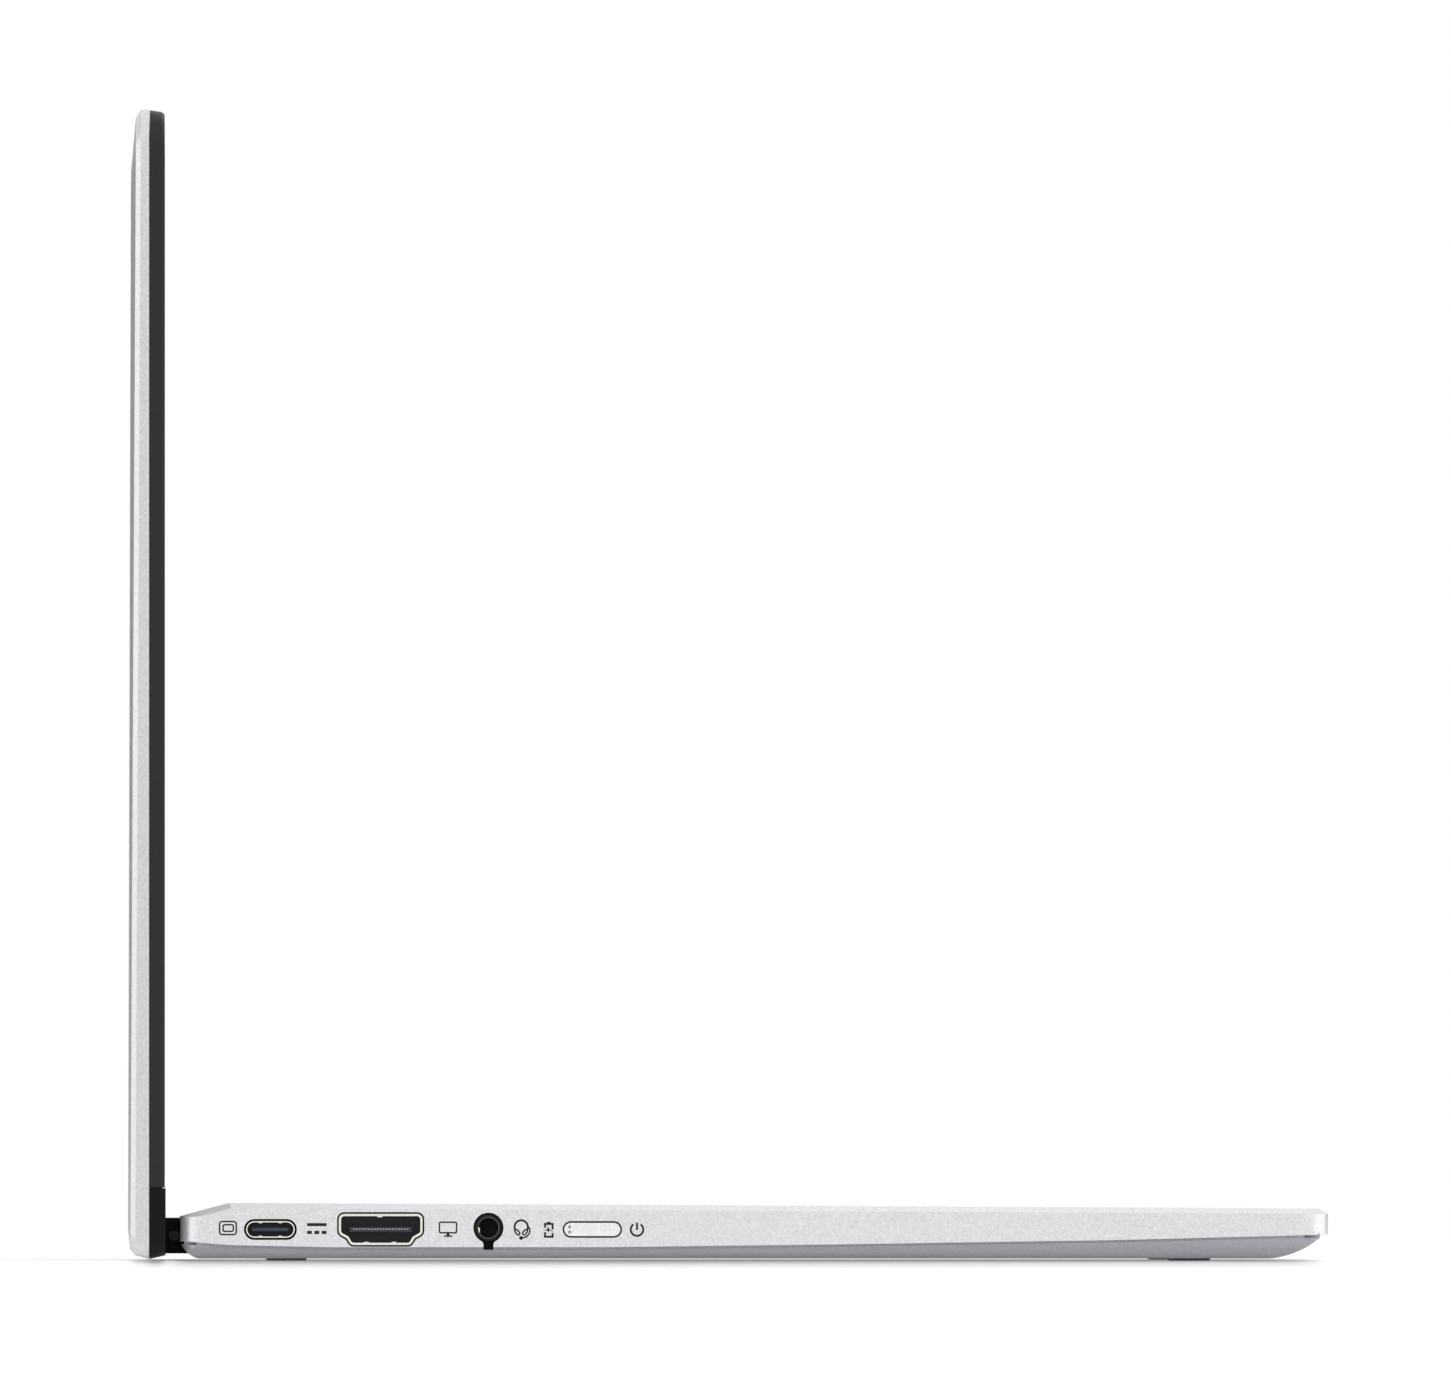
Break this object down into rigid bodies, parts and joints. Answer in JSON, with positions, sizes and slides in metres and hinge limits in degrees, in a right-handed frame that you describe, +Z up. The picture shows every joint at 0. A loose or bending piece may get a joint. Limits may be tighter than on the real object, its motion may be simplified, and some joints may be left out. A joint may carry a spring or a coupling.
{
  "type": "laptop computer",
  "caption": "Slim silver convertible laptop standing open at a right angle, with a two-axis folding hinge, keyboard, touchpad, side sockets and a power button in the side.",
  "frame": {"origin": "middle of the footprint of the open machine, on the table", "axes": "+Z up, +X to the user's right, the user at -Y, the lid at +Y"},
  "size_m": [0.3102, 0.2167, 0.2079],
  "materials": {
    "silver_shell": "satin painted silver with a fine sparkle grain",
    "silver_under": "satin painted silver, a little darker",
    "black_frame": "fine moulded black",
    "black_link": "satin black paint",
    "key_plastic": "soft matte keycaps with pale legends",
    "screen_glass": "glossy black glass",
    "lens_glass": "coated lens",
    "panel_stack": "dark panel back",
    "touch_surface": "satin etched glass, silver",
    "socket_steel": "bright drawn steel",
    "socket_plastic": "black moulded insert",
    "contact_gold": "gold plate",
    "screw_steel": "dark zinc",
    "bracket_steel": "stamped steel",
    "dome_rubber": "milky silicone",
    "foot_rubber": "matte black rubber",
    "board_laminate": "solder mask green",
    "chip_black": "moulded chip",
    "spreader_copper": "dull copper",
    "cell_foil": "dark pouch foil",
    "tray_plastic": "black moulded plastic",
    "flex_cable": "amber film",
    "light_guide": "clear light guide"
  },
  "bodies": {
    "base": {"base_top_cover": "silver_shell", "base_bottom_cover": "silver_under", "rubber_feet": "foot_rubber", "bottom_screws": "screw_steel", "keyboard_plate": "bracket_steel", "key_domes": "dome_rubber", "keyboard_cable": "flex_cable", "touchpad_frame": "bracket_steel", "touchpad_switch": "dome_rubber", "touchpad_cable": "flex_cable", "usb_c_shell_left": "socket_steel", "usb_c_shell_right": "socket_steel", "usb_c_tongues": "socket_plastic", "video_socket_shell": "socket_steel", "video_socket_tongue": "socket_plastic", "headset_jack_barrel": "socket_plastic", "headset_jack_contact": "contact_gold", "usb_a_shell_right": "socket_steel", "usb_a_tongue_right": "socket_plastic", "power_switch_board": "board_laminate", "volume_switches": "socket_plastic", "mainboard": "board_laminate", "mainboard_chips": "chip_black", "heat_spreader": "spreader_copper", "wifi_card": "board_laminate", "io_board_right": "board_laminate", "io_cable": "flex_cable", "battery_tray": "tray_plastic", "battery_cells": "cell_foil", "speaker_left": "tray_plastic", "speaker_right": "tray_plastic", "base_hinge_bracket_left": "bracket_steel", "base_hinge_bracket_right": "bracket_steel", "base_hinge_pins": "screw_steel", "base_hinge_screws": "screw_steel"},
    "hinge_links": {"hinge_link_left": "black_link", "hinge_link_right": "black_link", "link_screws": "screw_steel"},
    "lid": {"lid_back_cover": "silver_shell", "lid_bezel": "black_frame", "lid_chin_strip": "black_frame", "display_glass": "screen_glass", "lcd_panel": "panel_stack", "webcam_module": "socket_plastic", "webcam_lens": "lens_glass", "display_cable": "flex_cable", "lid_hinge_bracket_left": "bracket_steel", "lid_hinge_bracket_right": "bracket_steel", "lid_hinge_pins": "screw_steel", "lid_hinge_screws": "screw_steel"},
    "touchpad": {"touchpad_plate": "touch_surface"},
    "power_button": {"power_button": "silver_shell", "power_button_light": "light_guide"},
    "volume_rocker": {"volume_rocker": "silver_shell"},
    "keys_function_row": {"keys_function_row": "key_plastic"},
    "keys_number_row": {"keys_number_row": "key_plastic"},
    "keys_top_letter_row": {"keys_top_letter_row": "key_plastic"},
    "keys_home_row": {"keys_home_row": "key_plastic"},
    "keys_bottom_letter_row": {"keys_bottom_letter_row": "key_plastic"},
    "keys_space_row": {"keys_space_row": "key_plastic"}
  },
  "joints": [
    {"name": "base_hinge", "type": "hinge", "parent": "base", "child": "hinge_links", "pos_m": [0, 0.09545, 0.0045], "axis": [-1, 0, 0], "range_deg": [-90.29, 90]},
    {"name": "lid_hinge", "type": "hinge", "parent": "hinge_links", "child": "lid", "pos_m": [0, 0.10455, 0.0045], "axis": [-1, 0, 0], "range_deg": [0, 180]},
    {"name": "touchpad_click", "type": "hinge", "parent": "base", "child": "touchpad", "pos_m": [0, -0.03095, 0.00844], "axis": [1, 0, 0], "range_deg": [0, 0.323], "stiffness_Nm_per_rad": 9, "springref_deg": -0.34, "deforming": ["touchpad_switch"]},
    {"name": "power_button_press", "type": "slide", "parent": "base", "child": "power_button", "axis": [1, 0, 0], "range_m": [0, 0.0004], "stiffness_N_per_m": 2000, "springref_m": -0.0001},
    {"name": "volume_rocker_tilt", "type": "hinge", "parent": "base", "child": "volume_rocker", "pos_m": [0.1509, 0.03095, 0.00565], "axis": [0, 0, 1], "range_deg": [-2.2, 2.2], "stiffness_Nm_per_rad": 0.25},
    {"name": "keys_function_row_press", "type": "slide", "parent": "base", "child": "keys_function_row", "axis": [0, 0.0051, -1], "range_m": [0, 0.0012], "stiffness_N_per_m": 800, "springref_m": -0.0004, "deforming": ["key_domes"]},
    {"name": "keys_number_row_press", "type": "slide", "parent": "base", "child": "keys_number_row", "axis": [0, 0.0051, -1], "range_m": [0, 0.0012], "stiffness_N_per_m": 800, "springref_m": -0.0004, "deforming": ["key_domes"]},
    {"name": "keys_top_letter_row_press", "type": "slide", "parent": "base", "child": "keys_top_letter_row", "axis": [0, 0.0051, -1], "range_m": [0, 0.0012], "stiffness_N_per_m": 800, "springref_m": -0.0004, "deforming": ["key_domes"]},
    {"name": "keys_home_row_press", "type": "slide", "parent": "base", "child": "keys_home_row", "axis": [0, 0.0051, -1], "range_m": [0, 0.0012], "stiffness_N_per_m": 800, "springref_m": -0.0004, "deforming": ["key_domes"]},
    {"name": "keys_bottom_letter_row_press", "type": "slide", "parent": "base", "child": "keys_bottom_letter_row", "axis": [0, 0.0051, -1], "range_m": [0, 0.0012], "stiffness_N_per_m": 800, "springref_m": -0.0004, "deforming": ["key_domes"]},
    {"name": "keys_space_row_press", "type": "slide", "parent": "base", "child": "keys_space_row", "axis": [0, 0.0051, -1], "range_m": [0, 0.0012], "stiffness_N_per_m": 800, "springref_m": -0.0004, "deforming": ["key_domes"]}
  ]
}
